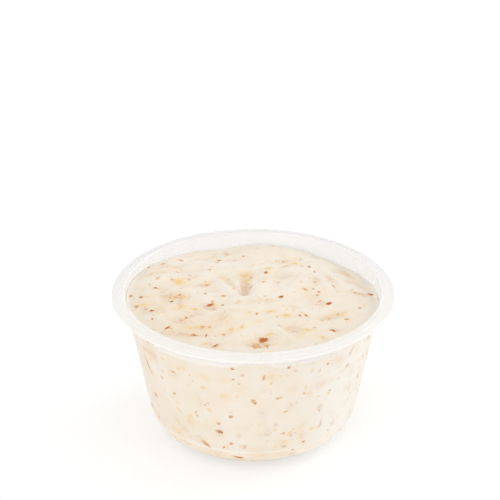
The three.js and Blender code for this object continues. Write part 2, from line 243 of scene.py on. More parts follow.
# soft stains and shaded patches in the top: place, half lengths along and across, turn from +X and
# strength. The tan patches lie in the valleys and dips and are partly the cream's warmer tone,
# partly painted shade; the brown and yellow hazes are stains
TAN_AND_SHADED_PATCHES = (
    (-21, 1, 7, 6, 0, 0.5), (-14, -12, 9, 6, 10, 0.75), (-17, -3, 5, 2, 10, 0.35),
    (-23.5, -3, 3, 2, 0, 0.5), (12.6, 1.6, 2.6, 3.2, 20, 0.5), (11.5, -17, 6.5, 2.6, 15, 0.6),
    (-1, -20, 6, 3, 0, 0.45), (16, -8.5, 5.5, 3, 10, 0.5), (-1.8, 11, 2.2, 3, 90, 0.6),
    (3, -10, 9, 4, 0, 0.25), (21, 0, 4, 3, 0, 0.3), (-8, -11, 4, 3, 0, 0.3),
    (3, 22.5, 6, 1.6, 0, 0.3), (-12, 21, 7, 1.6, 5, 0.35), (-19, 12, 6, 1.6, 25, 0.4),
    (22, 10.5, 6, 1.4, 125, 0.5),
)
BROWN_HAZES = (
    (-17.6, 2.2, 2.6, 1.1, 0, 0.6), (-18.5, 1.2, 1.4, 0.8, 0, 0.3),
    (-15.4, -9.2, 1.3, 1.6, 90, 0.6), (-9.4, -2.9, 1.9, 1.2, 10, 0.6),
    (-6.8, -8.8, 2, 1.6, 0, 0.35), (-10.9, 6.4, 1.6, 0.9, 10, 0.6), (-11, -12.4, 1.5, 1, 0, 0.45),
    (-13.4, 9.8, 1.8, 0.8, 0, 0.35), (-18.5, 14, 4, 0.9, 20, 0.4), (-21.5, 10.5, 3, 0.7, 15, 0.4),
    (-1.9, 6.2, 3, 0.9, 85, 0.6), (-2.2, 2.2, 1, 1.5, 0, 0.5), (6.8, 17.3, 2.2, 0.8, 0, 0.5),
    (7.6, 9.2, 3.4, 1.4, 5, 0.3), (14.4, -2.2, 1.6, 0.7, 5, 0.5), (17.8, -7.4, 2.4, 1.2, 12, 0.3),
    (16, -8.4, 1.6, 0.9, 0, 0.25), (8.6, -13.4, 1.9, 1.9, 0, 0.45), (1, -20.4, 2.2, 1.5, 0, 0.9),
    (2.4, -17.6, 2.2, 1.9, 30, 0.45), (2.5, -1.4, 3.2, 1, 0, 0.3), (20.6, 13, 2.6, 0.9, 130, 0.4),
    (23.2, 7, 2.4, 0.7, 130, 0.35), (23.9, 3.3, 2.2, 0.6, 0, 0.55), (14.2, 7.6, 1, 1.4, 0, 0.4),
    (17.2, 9, 2.2, 0.6, 125, 0.4), (-12.6, -6.6, 2.2, 0.9, 160, 0.35),
    (-21, -5.6, 1.8, 0.8, 0, 0.45), (-12.6, -15.6, 2.6, 1.2, 0, 0.5),
    (-16.5, -15, 2.4, 1.4, 0, 0.4), (-8, -21, 1.8, 1, 40, 0.5), (-20.5, 4.6, 2, 0.7, 0, 0.4),
    (-6.5, 0.6, 1.8, 0.6, 0, 0.35), (-4.9, 17.9, 3.2, 0.7, 5, 0.3), (18.3, -14.4, 2, 0.8, 150, 0.4),
    (9, -4.2, 1.4, 0.6, 0, 0.3),
)
YELLOW_HAZES = (
    (-16.4, 8.2, 1.6, 1.1, 10, 0.8), (-1.7, 11.3, 1.1, 1.4, 0, 0.9), (-1.5, 8.4, 1, 1.8, 80, 0.7),
    (-6.9, 9.1, 1.2, 0.9, 0, 0.5), (-15.4, -4.1, 1.5, 0.7, 10, 0.7),
    (-12.4, -4.4, 1.5, 0.7, 0, 0.7), (-23.6, -2.7, 1.6, 0.7, 10, 0.7), (-15, 1.6, 1.2, 0.7, 0, 0.7),
    (-11.2, -12.4, 1.9, 0.9, 0, 0.8), (-13.4, -12, 1.2, 0.7, 0, 0.6), (3.8, -6.1, 1.4, 0.8, 0, 0.8),
    (7.3, -7.8, 1.6, 0.8, 0, 0.8), (-0.9, -6.9, 1.2, 1, 0, 0.5), (-4.4, -13.7, 1.1, 1.1, 0, 0.7),
    (-2.2, -12.9, 0.8, 1, 0, 0.6), (-6.6, -15.8, 1.2, 1, 0, 0.7), (11.8, -13.7, 1.5, 0.8, 0, 0.8),
    (9.4, 15.8, 1.5, 0.7, 0, 0.8), (3.4, 13.4, 0.9, 0.8, 0, 0.7), (3.4, 11.6, 0.9, 0.8, 0, 0.6),
    (18.9, -6.9, 1.4, 0.8, 0, 0.6), (24, -2.6, 1.5, 0.7, 0, 0.4), (-10.2, 7.3, 1.2, 0.8, 0, 0.5),
    (6.5, -3.8, 1.2, 0.5, 0, 0.3), (1.2, -10.2, 0.9, 0.6, 0, 0.4), (7.2, -13.7, 1, 0.7, 0, 0.5),
    (14.8, -17.2, 1, 0.6, 0, 0.6), (3.6, -16, 1, 0.6, 0, 0.6), (-10.4, -20.2, 1.2, 0.7, 0, 0.7),
    (-19.5, -4, 1.4, 0.6, 0, 0.3),
)


def stained(x, y, stains):
    """How strongly a set of soft patches colours places on the top, from 0 to 1."""
    total = np.zeros(len(x))
    for stain_x, stain_y, along, across, turn, strength in stains:
        total += strength * swelling(x, y, (stain_x, stain_y), (along, across), turn)
    return np.clip(total, 0, 1)


# seeded stains round the side: how many, then the spans of their heights, half lengths and
# strengths, and how much weaker they are where painted light washes the sauce palest
SIDE_HAZES = 90
SIDE_HAZE_HEIGHT = (3, 26)
SIDE_HAZE_ALONG = (0.6, 1.0)
SIDE_HAZE_ACROSS = (0.5, 0.8)
SIDE_HAZE_STRENGTH = (0.3, 0.7)
SIDE_HAZE_WASHING = 0.5
SIDE_BROWN = (61, 0.5)  # seed and greatest strength
SIDE_YELLOW = (1483, 0.75)


def stained_side(vertices, seed, strongest):
    """How strongly soft seeded stains colour places on the sauce's side, from 0 to 1."""
    angles = np.arctan2(vertices[:, 1], vertices[:, 0])
    radii = np.hypot(vertices[:, 0], vertices[:, 1])
    draw = draws_from(seed)
    total = np.zeros(len(vertices))
    for index in range(SIDE_HAZES):
        turn = index * GOLDEN_ANGLE + next(draw)
        off_x = ((angles - turn + math.pi) % FULL_TURN - math.pi) * radii
        off_y = vertices[:, 2] - drawn(draw, SIDE_HAZE_HEIGHT)
        along, across = drawn(draw, SIDE_HAZE_ALONG), drawn(draw, SIDE_HAZE_ACROSS)
        strength = strongest * drawn(draw, SIDE_HAZE_STRENGTH)
        total += strength * np.exp(-(off_x / along) ** 2 - (off_y / across) ** 2)
    return np.clip(total, 0, 1) * (1 - SIDE_HAZE_WASHING * painted_wash(vertices))


FINE_RELIEF = ((2.6, 0.15, 3.1), (1.2, 0.075, 7.7), (0.55, 0.02, 11.3))  # grain, height, layer
FOLD_CENTRE = (-1.7, 5.0)
FOLD_WIDTH = 1.7
FOLD_HEIGHT = 0.15
FOLD_BENDS = 2.6  # how much a fold changes on its way round the pit


def fine_relief(x, y):
    """The small unevenness of a thick sauce and its faint folds round the pit."""
    rise = np.zeros(len(x))
    for grain, height, layer in FINE_RELIEF:
        rise += [height * noise.noise((a / grain, b / grain, layer)) for a, b in zip(x, y)]
    out_x, out_y = x - FOLD_CENTRE[0], y - FOLD_CENTRE[1]
    away = np.hypot(out_x, out_y) + 0.001  # never nothing, since it divides
    turns = zip(away / FOLD_WIDTH, FOLD_BENDS * out_x / away, FOLD_BENDS * out_y / away)
    return rise + [FOLD_HEIGHT * noise.noise(turn) for turn in turns]


CALM_SHARE = 0.1  # of the sauce's radius, at its edge, where the fine relief dies away
HOLLOW_REACH = 1.5  # how far off the surroundings are that a place is set against
HOLLOW_DEPTH = 0.5  # from the middle of a slope to a full hollow or ridge
HOLLOW_LOOKS = 8


def surface_height(x, y):
    """Height of the sauce's top with its fine relief."""
    edge = wall_radius(CUP_HEIGHT - edge_depth(np.arctan2(y, x)), SAUCE_INSET)
    stir = np.clip((1 - np.hypot(x, y) / edge) / CALM_SHARE, 0, 1)
    return top_height(x, y) + fine_relief(x, y) * stir


def hollowness(x, y):
    """0 on ridges and 1 in hollows, from how a place lies against its surroundings."""
    here = top_height(x, y) + fine_relief(x, y)
    around = np.zeros(len(x))
    for look in range(HOLLOW_LOOKS):
        turn = look / HOLLOW_LOOKS * FULL_TURN
        off_x, off_y = x + HOLLOW_REACH * math.cos(turn), y + HOLLOW_REACH * math.sin(turn)
        around += (top_height(off_x, off_y) + fine_relief(off_x, off_y)) / HOLLOW_LOOKS
    return np.clip(0.5 + (around - here) / HOLLOW_DEPTH, 0, 1)


# ------------------------------------------------------------------ meshes
def new_piece(name, vertices, faces):
    """A mesh object in metres, riding on the one body, with the name it is given."""
    mesh = bpy.data.meshes.new(name)
    mesh.from_pydata((np.asarray(vertices) * METRES).tolist(), [], faces)
    mesh.validate()
    mesh.update()
    mesh.polygons.foreach_set("use_smooth", [True] * len(mesh.polygons))
    piece = bpy.data.objects.new(name, mesh)
    bpy.context.scene.collection.objects.link(piece)
    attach(piece, "root")
    return piece


def add_layer(piece, name, values):
    """A number at each point of a piece, for its material to read."""
    layer = piece.data.attributes.new(name, "FLOAT", "POINT")
    layer.data.foreach_set("value", values)


def ring_faces(rows, segments, first_pole, last_pole):
    """Faces of a closed turned skin: rings of vertices between two poles."""
    def at(row, segment):
        return row * segments + segment % segments

    faces = []
    for segment in range(segments):
        faces.append((at(0, segment + 1), at(0, segment), first_pole))
        faces.append((at(rows - 1, segment), at(rows - 1, segment + 1), last_pole))
    for row in range(rows - 1):
        for segment in range(segments):
            faces.append((
                at(row, segment), at(row, segment + 1),
                at(row + 1, segment + 1), at(row + 1, segment),
            ))
    return faces


# ------------------------------------------------------------------ shader maths
class Value:
    """A number in a shader. An expression on Values adds the Math nodes that work it out."""

    def __init__(self, shader, socket):
        self.shader = shader
        self.socket = socket

    def _math(self, operation, first, second):
        node = self.shader.node("ShaderNodeMath", {"operation": operation}, {0: first, 1: second})
        return Value(self.shader, node.outputs[0])

    def __add__(self, other):
        return self._math("ADD", self, other)

    def __sub__(self, other):
        return self._math("SUBTRACT", self, other)

    def __rsub__(self, other):
        return self._math("SUBTRACT", other, self)

    def __mul__(self, other):
        return self._math("MULTIPLY", self, other)

    def __truediv__(self, other):
        return self._math("DIVIDE", self, other)

    def lesser(self, other):
        return self._math("MINIMUM", self, other)

    __radd__ = __add__
    __rmul__ = __mul__


class Shader:
    """A material and the few ways in which its nodes are made."""

    def __init__(self, name):
        self.material = bpy.data.materials.new(name)
        self.material.use_nodes = True
        self.tree = self.material.node_tree
        self.tree.nodes.clear()

    def node(self, kind, settings=None, inputs=None):
        """A node of a kind, its settings set first, then its sockets' values or links."""
        made = self.tree.nodes.new(kind)
        for name, setting in (settings or {}).items():
            setattr(made, name, setting)
        for name, given in (inputs or {}).items():
            socket = self._socket(made.inputs, name)
            source = given.socket if isinstance(given, Value) else given
            if isinstance(source, bpy.types.NodeSocket):
                self.tree.links.new(source, socket)
            else:
                socket.default_value = source
        return made

    @staticmethod
    def _socket(sockets, name):
        if isinstance(name, int):
            return sockets[name]
        for socket in sockets:
            if socket.identifier == name:
                return socket
        return sockets[name]

    def place(self):
        """Where a point lies on the piece, in millimetres."""
        found = self.node("ShaderNodeTexCoord")
        scaled = self.node(
            "ShaderNodeVectorMath", {"operation": "SCALE"},
            {0: found.outputs["Object"], "Scale": 1 / METRES},
        )
        return scaled.outputs[0]

    def layer(self, name):
        """A number that a mesh holds at each of its points."""
        found = self.node("ShaderNodeAttribute", {"attribute_name": name})
        return Value(self, found.outputs["Fac"])

    def grain(self, place, size, detail=2.0, roughness=0.5):
        """Soft noise between 0 and 1, its blotches about a size in millimetres across."""
        made = self.node("ShaderNodeTexNoise", {}, {
            "Vector": place, "Scale": 1 / size, "Detail": detail, "Roughness": roughness,
        })
        return Value(self, made.outputs[0])

    def step(self, value, low, high):
        """0 below low, 1 above high, and eased between."""
        made = self.node("ShaderNodeMapRange", {"interpolation_type": "SMOOTHSTEP"}, {
            0: value, 1: low, 2: high, 3: 0.0, 4: 1.0,
        })
        return Value(self, made.outputs[0])

    def mix(self, share, first, second):
        """Two colours mixed by a share of the second."""
        made = self.node("ShaderNodeMix", {"data_type": "RGBA"}, {
            "Factor_Float": share, "A_Color": first, "B_Color": second,
        })
        return self._socket(made.outputs, "Result_Color")

    def roughness(self, place, size, span):
        """A roughness that wanders over a span, which is its least value and what it adds."""
        least, spread = span
        return self.grain(place, size) * spread + least

    def bump(self, height, strength, distance):
        """A normal that follows a height, by a strength and a depth in metres."""
        made = self.node("ShaderNodeBump", {}, {
            "Height": height, "Strength": strength, "Distance": distance,
        })
        return made.outputs[0]

    def finish(self, sockets):
        """The surface: one Principled shader with these sockets."""
        surface = self.node("ShaderNodeBsdfPrincipled", {}, sockets)
        self.node("ShaderNodeOutputMaterial", {}, {"Surface": surface.outputs[0]})
        return self.material


def rgba(colour):
    """A colour with full alpha, as a node's socket takes it."""
    return (colour[0], colour[1], colour[2], 1.0)


# ------------------------------------------------------------------ properties
def colour_property(name, description, default):
    """A colour that a user may change."""
    return bpy.props.FloatVectorProperty(
        name=name, description=description, subtype="COLOR", size=3, min=0, max=1, default=default,
    )


def share_property(name, description, default):
    """A share from 0 to 1 that a user may change."""
    return bpy.props.FloatProperty(
        name=name, description=description, subtype="FACTOR", min=0, max=1, default=default,
    )


class CupLooks(bpy.types.PropertyGroup):
    """The clear cup."""
    tint: colour_property("Plastic", "Colour of the slightly milky plastic", (0.84, 0.83, 0.82))
    milkiness: share_property(
        "Milkiness", "How much the plastic hides the sauce that wets it", 0.18,
    )
    dry_milkiness: share_property(
        "Dry milkiness", "How much the bare plastic hides what is behind it", 0.40,
    )
    # painted light: a warm tint that stands in for the sauce's light seen through the flange
    painted_flange_glow: colour_property(
        "Flange", "Colour of the flange, which shows the sauce behind it", (0.91, 0.88, 0.84),
    )
    flange_milkiness: share_property(
        "Flange milkiness", "How much the flange hides what is behind it", 0.65,
    )
    strip_milkiness: share_property(
        "Strip milkiness", "How much the bare wall's outer face hides", 0.55,
    )
    back_milkiness: share_property(
        "Back milkiness", "How much the bare wall's outer face hides at the back", 0.36,
    )
    # painted highlight: the plastic is made clearer along the lip of the foot, so that it shows as
    # a bright line
    lip_highlight_clearness: share_property(
        "Lip clearness", "How much clearer the lip of the foot is than the wall", 0.15,
    )
    # painted shade: the plastic is made milkier on the foot under the lip, to darken it
    foot_shade_milkiness: share_property(
        "Foot milkiness", "How much milkier the foot is than the wall", 0.06,
    )
    segments: bpy.props.IntProperty(
        name="Segments", description="Steps round the cup", min=24, default=288,
    )


class SauceLooks(bpy.types.PropertyGroup):
    """The cream sauce."""
    cream: colour_property("Cream", "Main colour of the sauce", (0.82, 0.75, 0.65))
    # also the colour of the painted shade in the hollows and valleys
    warm_cream: colour_property("Warm cream", "Colour of its warmer patches", (0.80, 0.68, 0.52))
    # partly the paler thin film, partly painted light that lifts the shade where the sauce meets
    # the wall
    film: colour_property("Film", "Colour of the thin film at its edge", (0.93, 0.885, 0.81))
    yellow_stain: colour_property(
        "Yellow stain", "Colour of the yellow flecks sunk in the sauce", (0.82, 0.58, 0.28),
    )
    # also the colour of the painted shade under the lip of the foot
    brown_stain: colour_property(
        "Brown stain", "Colour of the brown flecks sunk in the sauce", (0.60, 0.31, 0.13),
    )
    segments: bpy.props.IntProperty(
        name="Segments", description="Steps round the sauce", min=24, default=384,
    )
    top_rows: bpy.props.IntProperty(
        name="Top rows", description="Rings of faces on the sauce's top", min=8, default=120,
    )


class FleckLooks(bpy.types.PropertyGroup):
    """The flecks of herb and mustard seed."""
    brown: colour_property(
        "Brown", "Colour of the brown flecks at their crowns", (0.42, 0.10, 0.022),
    )
    stain: colour_property(
        "Stain", "Colour of the orange-brown fringe round them", (0.69, 0.37, 0.13),
    )
    yellow: colour_property("Yellow", "Colour of the yellow flecks", (0.83, 0.64, 0.36))
    deep_yellow: colour_property(
        "Deep yellow", "Colour of the yellow flecks at their crowns", (0.80, 0.54, 0.22),
    )


class StageLooks(bpy.types.PropertyGroup):
    """The floor, the lights and the camera."""
    elevation: bpy.props.FloatProperty(
        name="Elevation", description="Height of the view above level",
        subtype="ANGLE", default=math.radians(28.0),
    )
    distance: bpy.props.FloatProperty(
        name="Distance", description="From the camera to the crest of the cup",
        unit="LENGTH", default=0.6,
    )


# ------------------------------------------------------------------ the cup
DRY_BAND = 7.0  # depth below the crest of the stretch that the sauce's edge crosses
WALL_ROWS = 16  # below that stretch
BAND_ROWS = 30  # in it
DRY_BLEND = 0.3  # over which the wall goes from wet to bare
FLANGE_START = 0.15  # inside the wall's outer face at the crest
FLANGE_BLEND = 0.1
CREST_START = 0.6  # below the crest
CREST_BLEND = 0.3
LIP_RISE = 0.35  # of the lip's middle above the foot
LIP_WIDTH = 0.32
FOOT_STEPS = 48
HEEL_STEPS = 20
CURL_STEPS = 18
CREST_STEPS = 8
INNER_HEEL_STEPS = 18


def wall_heights(low, high):
    """Heights of the wall's rows, set close together where the sauce's edge crosses it."""
    band = CUP_HEIGHT - DRY_BAND
    return [*np.linspace(low, band, WALL_ROWS), *np.linspace(band, high, BAND_ROWS)[1:]]


def dryness(x, y, height):
    """0 where the sauce wets the wall and 1 where the wall is bare."""
    above = height - (CUP_HEIGHT - edge_depth(np.arctan2(y, x)))
    return eased(np.clip(above / DRY_BLEND + 0.5, 0, 1))


def flange_share(radius, height):
    """1 on the flange and its crest and 0 on the wall."""
    outer = (radius - WALL_TOP_RADIUS + FLANGE_START) / FLANGE_BLEND
    crest = (height - CUP_HEIGHT + CREST_START) / CREST_BLEND
    return np.clip(np.maximum(outer, crest), 0, 1)


def foot_marks(height):
    """1 on the lip of the foot, and 1 on the foot below it."""
    lip = np.exp(-((height - FOOT_HEIGHT - LIP_RISE) / LIP_WIDTH) ** 2)
    foot = np.clip((FOOT_HEIGHT - height) / LIP_WIDTH, 0, 1)
    return lip, foot


def cup_profile():
    """The cup's section, from the middle of its base out, up, over the flange and back in."""
    foot_angle = math.asin((FOOT_HEIGHT - HEEL_RADIUS) / HEEL_RADIUS)
    ledge_angle = math.asin((FOOT_HEIGHT + FOOT_LEDGE - HEEL_RADIUS) / HEEL_RADIUS)
    foot_centre = (HEEL_CENTRE[0] - FOOT_INSET, HEEL_CENTRE[1])
    foot = arc(foot_centre, HEEL_RADIUS, -QUARTER, foot_angle, FOOT_STEPS)
    heel = arc(HEEL_CENTRE, HEEL_RADIUS, ledge_angle, -WALL_TAPER, HEEL_STEPS)
    curl_centre = (RIM_DIAMETER / 2 - CURL_RADIUS, CUP_HEIGHT - FLANGE_DROP - CURL_RADIUS)
    crest_height = CUP_HEIGHT - CREST_ROUNDING
    crest_centre = (wall_radius(crest_height, WALL_THICKNESS) + CREST_ROUNDING, crest_height)
    slope = FLANGE_DROP / (curl_centre[0] - crest_centre[0])

    def flange_top(radius):
        return CUP_HEIGHT - (radius - crest_centre[0]) * slope

    under = flange_top(WALL_TOP_RADIUS) - FLANGE_THICKNESS
    wall = [(wall_radius(height, 0), height) for height in wall_heights(heel[-1][1], under)[1:]]
    curl = arc(curl_centre, CURL_RADIUS, -math.pi, QUARTER, CURL_STEPS)
    step_outer = (FLANGE_STEP_RADIUS, flange_top(FLANGE_STEP_RADIUS))
    step_inner = (FLANGE_STEP_RADIUS - FLANGE_STEP, step_outer[1] + FLANGE_STEP)
    crest = arc(crest_centre, CREST_ROUNDING, QUARTER, math.pi, CREST_STEPS)
    inner_radius = HEEL_RADIUS - WALL_THICKNESS
    inner_heel = arc(HEEL_CENTRE, inner_radius, -WALL_TAPER, -QUARTER, INNER_HEEL_STEPS)
    inner_wall = [(wall_radius(height, WALL_THICKNESS), height)
                  for height in wall_heights(inner_heel[0][1], crest[-1][1])[-2:0:-1]]
    return [*foot, *heel, *wall, *curl, step_outer, step_inner, *crest, *inner_wall, *inner_heel]


FRONT_FADE = 24.0  # over which the painted warm glow of the sauce on the flange, and the bare wall's outer milkiness, fade from front to back
PAINTED_GLOW_BACK = 0.3  # what is left of it at the back
PAINTED_GLOW_BARE = 0.6  # share of it that the bare wall takes
WALL_WAVER = 0.035  # how far the formed wall strays from round, but not near the rim
WAVER_LOBES = 2.2  # how often it strays on its way round, and up the wall
WAVER_CLIMB = 0.07
WAVER_END = 1.8  # depth below the crest where it ends, and the stretch over which it fades
WAVER_FADE = 3.0


def make_cup(looks):
    """The shell of clear plastic, with what its finish goes by at each point."""
    profile = cup_profile()
    segments = looks.segments
    vertices = []
    for radius, height in profile:
        calm = min(height / HEEL_RADIUS, 1, max(CUP_HEIGHT - height - WAVER_END, 0) / WAVER_FADE)
        for segment in range(segments):
            angle = segment / segments * FULL_TURN
            x, y = math.cos(angle), math.sin(angle)
            stray = noise.noise((x * WAVER_LOBES, y * WAVER_LOBES, height * WAVER_CLIMB))
            reach = radius + WALL_WAVER * stray * calm
            vertices.append((x * reach, y * reach, height))
    base, floor = len(vertices), len(vertices) + 1
    vertices += [(0, 0, 0), (0, 0, WALL_THICKNESS)]
    piece = new_piece(
        "cup_shell", vertices, ring_faces(len(profile), segments, base, floor),
    )
    for name, values in plastic_layers(looks, np.array(vertices)).items():
        add_layer(piece, name, values)
    piece.data.materials.append(clear_plastic(looks))
    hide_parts("cup")


def plastic_layers(looks, vertices):
    """How much the plastic hides at each place, and how much painted warm glow of the sauce it
    takes.
    """
    x, y, height = vertices.T
    lip, foot = foot_marks(height)
    dry = dryness(x, y, height)
    outer = np.hypot(x, y) > skin_radius(height, WALL_THICKNESS / 2)
    front = np.clip(0.5 - y / FRONT_FADE, 0, 1)
    strip = looks.back_milkiness + (looks.strip_milkiness - looks.back_milkiness) * front
    bare_milk = np.where(outer, strip, looks.dry_milkiness)
    milk = looks.milkiness + dry * (bare_milk - looks.milkiness)
    # painted shade on the foot and painted highlight on its lip, through the plastic's milkiness
    milk += foot * looks.foot_shade_milkiness - lip * looks.lip_highlight_clearness
    flange = flange_share(np.hypot(x, y), height)
    # painted glow of the sauce: full on the flange, less on the bare wall, fading towards the back
    sauce_glow = np.maximum(flange, dry * PAINTED_GLOW_BARE) * (PAINTED_GLOW_BACK + (1 - PAINTED_GLOW_BACK) * front)
    return {"milk": milk + flange * (looks.flange_milkiness - milk), "flange": sauce_glow}


CLOUD_SIZE = 9.0  # of the plastic's faint clouds, and how dark they are
CLOUD_SHADE = 0.97
MARK_SIZE = 3.0  # of its flow marks, and the depths below the crest between which they end
MARK_ENDS = (3.0, 1.5)
MARK_BUMP = (0.10, 0.00003)  # strength, and depth in metres
PLASTIC_ROUGHNESS = (0.10, 0.10)
PLASTIC_IOR = 1.49


def clear_plastic(looks):
    """Thin formed plastic, clear to milky, with faint flow marks."""
    shader = Shader("clear plastic")
    place = shader.place()
    cloud = shader.grain(place, CLOUD_SIZE, 3.0)
    height = shader.node("ShaderNodeSeparateXYZ", {}, {0: place}).outputs[2]
    low, high = (CUP_HEIGHT - depth for depth in MARK_ENDS)
    wall = 1 - shader.step(Value(shader, height), low, high)
    marks = shader.grain(place, MARK_SIZE) * wall
    clouded = rgba([channel * CLOUD_SHADE for channel in looks.tint])
    plastic = shader.mix(cloud, rgba(looks.tint), clouded)
    return shader.finish({
        # painted light: the flange and bare wall are tinted with the warm glow of the sauce behind
        # them, strongest at the front
        "Base Color": shader.mix(shader.layer("flange"), plastic, rgba(looks.painted_flange_glow)),
        "Roughness": shader.roughness(place, 5.0, PLASTIC_ROUGHNESS),
        "IOR": PLASTIC_IOR,
        "Alpha": shader.layer("milk"),
        "Coat Weight": 1.0,
        "Coat Roughness": 0.05,
        "Normal": shader.bump(marks, *MARK_BUMP),
    })


# ------------------------------------------------------------------ the sauce
SAUCE_HEEL_STEPS = 32
SAUCE_WALL_ROWS = 40
WALL_WARMTH = 0.38  # of the sauce seen through the wall
WALL_PATCH = 3.5  # size of the warmer patches against the wall
WALL_PATCHINESS = 1.6
WALL_PATCH_FINER = 2.3  # how much finer a second set of them is, and how much weaker
WALL_PATCH_WEAKER = 0.5
FOOT_SHADE = 0.18  # painted shade: a brown tinge just under the lip of the foot
FOOT_SHADE_WIDTH = 0.9
FOOT_SHADE_START = 0.2
# painted highlight: how much paler the sauce is painted along the lip of the foot
LIP_HIGHLIGHT = 0.5
PAINTED_WASH_ANGLE = 325  # where painted light washes the sauce palest through the wall, at the front right, and how far that reaches
PAINTED_WASH_WIDTH = 26
PAINTED_WASH_SHARE = 0.8
FILM_WIDTH = 1.6  # of the pale film at the sauce's edge, inward and down the wall: partly its thin film, partly painted light that lifts the shade by the wall
FILM_DEPTH = 0.5


def sauce_rings(segments, top_rows):
    """Rings of places up the heel and the wall, and how many they are, then in over the top."""
    angles = np.arange(segments) / segments * FULL_TURN
    across = np.stack([np.cos(angles), np.sin(angles)], 1)
    edges = CUP_HEIGHT - edge_depth(angles)
    heel = arc(HEEL_CENTRE, HEEL_RADIUS - SAUCE_INSET, -QUARTER, -WALL_TAPER, SAUCE_HEEL_STEPS)
    rings = [np.column_stack([across * radius, np.full(segments, height)])
             for radius, height in heel]
    heel_top = heel[-1][1]
    for row in range(1, SAUCE_WALL_ROWS + 1):
        heights = heel_top + (edges - heel_top) * row / SAUCE_WALL_ROWS
        radii = wall_radius(heights, SAUCE_INSET)
        rings.append(np.column_stack([across * radii[:, None], heights]))
    side_rings = len(rings)
    for row in range(1, top_rows):
        radii = wall_radius(edges, SAUCE_INSET) * (1 - row / top_rows)
        x, y = across[:, 0] * radii, across[:, 1] * radii
        rings.append(np.column_stack([x, y, surface_height(x, y)]))
    return rings, side_rings


def make_sauce(looks):
    """The body of the sauce, with what its finish goes by at each point."""
    segments = looks.segments
    rings, side_rings = sauce_rings(segments, looks.top_rows)
    vertices = np.concatenate(rings)
    bottom, middle = len(vertices), len(vertices) + 1
    crown = float(top_height(0.0, 0.0))
    vertices = np.vstack([vertices, [(0, 0, SAUCE_INSET), (0, 0, crown)]])
    piece = new_piece(
        "sauce_body", vertices, ring_faces(len(rings), segments, bottom, middle),
    )
    top = slice(side_rings * segments, len(rings) * segments)
    layers = {**cream_layers(vertices, top), **haze_layers(vertices, top)}
    for name, values in layers.items():
        add_layer(piece, name, values)
    piece.data.materials.append(cream_sauce(looks))
    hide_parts("sauce")


def haze_layers(vertices, top):
    """How strongly brown and yellow stains colour each place, on the side and on the top; the brown
    also holds painted shade under the lip of the foot.
    """
    x, y = vertices[top, 0], vertices[top, 1]
    below = np.maximum(FOOT_HEIGHT - vertices[:, 2], 0)
    # painted shade under the lip of the foot, carried in the brown layer
    brown = FOOT_SHADE * np.exp(-below / FOOT_SHADE_WIDTH) * np.clip(below / FOOT_SHADE_START, 0, 1)
    brown += stained_side(vertices, *SIDE_BROWN)
    brown[top] = stained(x, y, BROWN_HAZES)
    yellow = stained_side(vertices, *SIDE_YELLOW)
    yellow[top] = stained(x, y, YELLOW_HAZES)
    return {"brown_haze_and_foot_shade": brown, "yellow_haze": yellow}


def cream_layers(vertices, top):
    """What the cream's colour goes by at each place, for the places on its top and on its side."""
    x, y = vertices[top, 0], vertices[top, 1]
    hollow = np.full(len(vertices), 0.5)
    hollow[top] = hollowness(x, y)
    pale = painted_wash(vertices)
    patches = [noise.noise(place) + WALL_PATCH_WEAKER * noise.noise(place * WALL_PATCH_FINER)
               for place in (Vector(vertex) / WALL_PATCH for vertex in vertices)]
    # the warmth of the side is weakened where painted light washes it pale
    tan = WALL_WARMTH * (1 - pale) * (1 + WALL_PATCHINESS * np.array(patches))
    # the tan on top: the cream's warmer tone and painted shade in the valleys and dips
    tan[top] = stained(x, y, TAN_AND_SHADED_PATCHES)
    pale[top] = 0
    lip, _ = foot_marks(vertices[:, 2])
    # the pale layer takes the edge film with its painted light, the painted wash on the front
    # right, and a painted highlight on the lip of the foot
    thin = np.maximum(film_and_painted_light(vertices), np.maximum(pale * PAINTED_WASH_SHARE, lip * LIP_HIGHLIGHT))
    return {"hollowness": hollow, "tan_haze_and_valley_shade": tan, "film_and_painted_light": thin}


def painted_wash(vertices):
    """Painted light: 1 on the side of the sauce painted palest, as if washed by the light from the
    right, and 0 away from it.
    """
    away = (np.degrees(np.arctan2(vertices[:, 1], vertices[:, 0])) - PAINTED_WASH_ANGLE + 180) % 360 - 180
    return np.exp(-((away / PAINTED_WASH_WIDTH) ** 2))


def film_and_painted_light(vertices):
    """1 at the sauce's edge, where only a film of it lies on the wall, and 0 away from it; the
    paler colour there is partly the thin film and partly painted light that lifts the shade by the
    wall.
    """
    edge = CUP_HEIGHT - edge_depth(np.arctan2(vertices[:, 1], vertices[:, 0]))
    inward = wall_radius(edge, SAUCE_INSET) - np.hypot(vertices[:, 0], vertices[:, 1])
    below = edge - vertices[:, 2]
    return eased(np.clip(1 - np.maximum(inward / FILM_WIDTH, below / FILM_DEPTH), 0, 1))


# flecks sunk in the cream: the size of their cells, the share of the cells that hold one, where
# in the pattern they start, and the least and greatest size of a fleck in its cell
SUNK_BROWN = (1.9, 0.20, 11.0, 0.12, 0.28)
SUNK_YELLOW = (2.3, 0.24, 47.0, 0.14, 0.34)
SUNK_SMUDGES = (3.4, 0.34, 83.0, 0.16, 0.36)
# how strongly each kind colours the cream, the sunk flecks first and then the stains
YELLOW_STRENGTHS = (0.6, 0.9)
BROWN_STRENGTHS = (0.5, 0.7)
SMUDGE_STRENGTH = 0.28
RAGGED_FINENESS = 1.3  # of the bends, per millimetre, that make the sunk flecks ragged
RAGGED_REACH = 1.6  # how far they bend
SPECKLE_SIZE = 0.8  # of the speckle that breaks up the stains, and the span of its strength
SPECKLE_SPAN = (0.45, 1.1)
PORE_SIZE = 0.7
PORE_BUMP = (0.25, 0.00006)
CREAM_ROUGHNESS = (0.32, 0.16)
CREAM_IOR = 1.42
